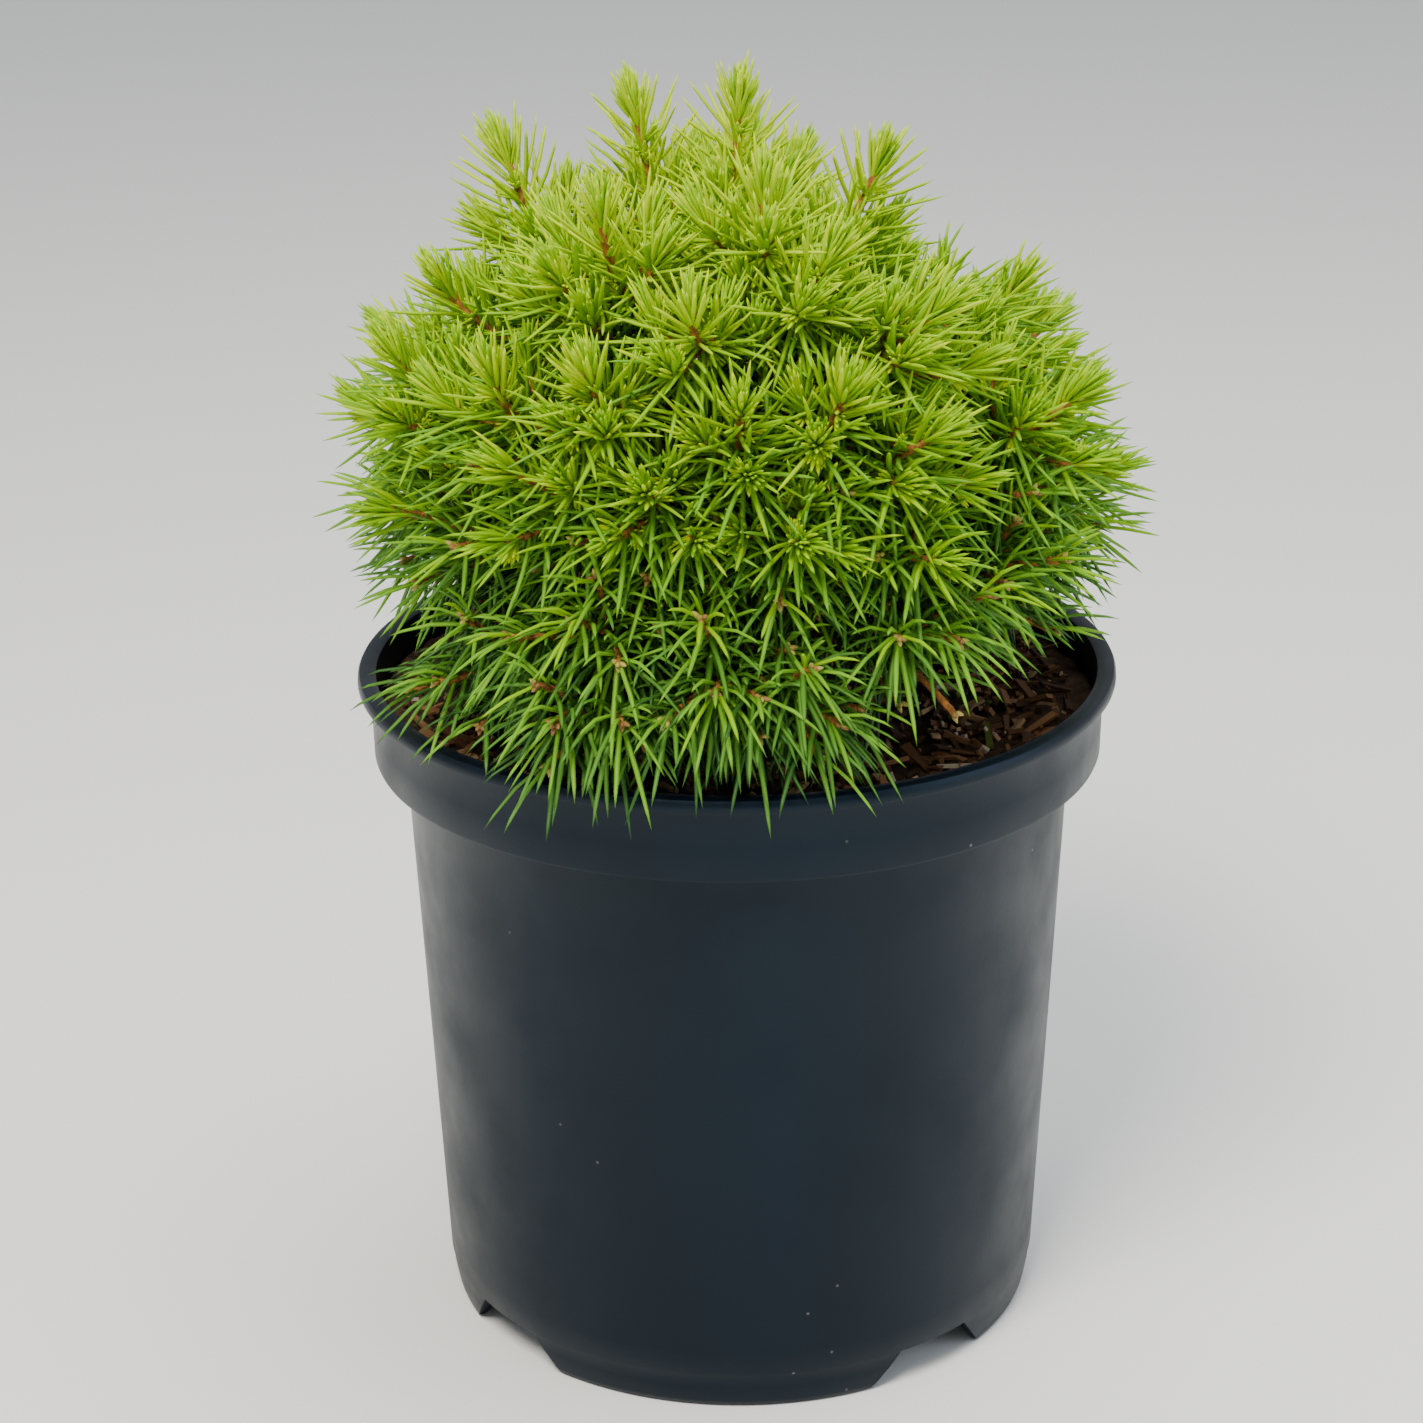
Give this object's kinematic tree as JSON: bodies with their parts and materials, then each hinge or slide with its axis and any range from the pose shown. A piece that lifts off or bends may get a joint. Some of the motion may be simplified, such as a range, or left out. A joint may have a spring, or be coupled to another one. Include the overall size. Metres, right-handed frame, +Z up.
{
  "type": "potted dwarf spruce",
  "caption": "Young dwarf globe spruce: short needled shoots in a rounded open crown on a low trunk, planted in a round black nursery pot with feet.",
  "frame": {"origin": "on the ground, under the middle of the whole plant's box, which lies within 3 mm of the pot's axis", "axes": "+Z up, -Y towards the front that the picture shows, +X to its right"},
  "size_m": [0.1878, 0.19, 0.2898],
  "materials": {
    "black_plastic": "semi-gloss black moulded plastic",
    "bark_compost": "loose dark compost of bark and peat",
    "brown_bark": "rough brown bark",
    "green_needles": "soft lime to mid-green needles"
  },
  "bodies": {
    "root": {"pot": "black_plastic", "soil": "bark_compost", "trunk": "brown_bark", "bough_high_right": "brown_bark", "bough_front_high": "brown_bark", "bough_high_left": "brown_bark", "bough_front_right_high": "brown_bark", "bough_front_left_high": "brown_bark", "bough_back": "brown_bark", "bough_right_mid": "brown_bark", "bough_front_mid": "brown_bark", "bough_left_mid": "brown_bark", "bough_right_front": "brown_bark", "bough_right_back": "brown_bark", "bough_left_back": "brown_bark", "bough_left_front_low": "brown_bark", "bough_right_low": "brown_bark", "bough_front_low": "brown_bark", "foliage_spire_top": "green_needles", "foliage_spire_middle": "green_needles", "foliage_spire_left": "green_needles", "foliage_shoulder_left": "green_needles", "foliage_back_high": "green_needles", "foliage_spire_right": "green_needles", "foliage_shoulder_right_back": "green_needles", "foliage_leader_left": "green_needles", "foliage_left_front": "green_needles", "foliage_mid_left": "green_needles", "foliage_leader_centre": "green_needles", "foliage_mid_centre_upper": "green_needles", "foliage_leader_right": "green_needles", "foliage_shoulder_right": "green_needles", "foliage_mid_right": "green_needles", "foliage_flank_left": "green_needles", "foliage_back_left_mid": "green_needles", "foliage_mid_centre": "green_needles", "foliage_mid_low": "green_needles", "foliage_centre_low": "green_needles", "foliage_flank_right": "green_needles", "foliage_far_right": "green_needles", "foliage_back_mid_left": "green_needles", "foliage_back_mid_right": "green_needles", "foliage_left_back_low": "green_needles", "foliage_back_low_left": "green_needles", "foliage_back_low": "green_needles", "foliage_back_right_mid": "green_needles", "foliage_back_low_right": "green_needles", "foliage_right_back_low": "green_needles", "foliage_right_upper": "green_needles", "foliage_right_low_front": "green_needles", "foliage_right_low": "green_needles", "foliage_lower_left": "green_needles", "foliage_left_low": "green_needles", "foliage_skirt_left": "green_needles", "foliage_skirt_left_upper": "green_needles", "foliage_skirt_left_front": "green_needles", "foliage_skirt_centre": "green_needles", "foliage_skirt_right_centre": "green_needles", "foliage_skirt_right": "green_needles"}
  },
  "joints": []
}
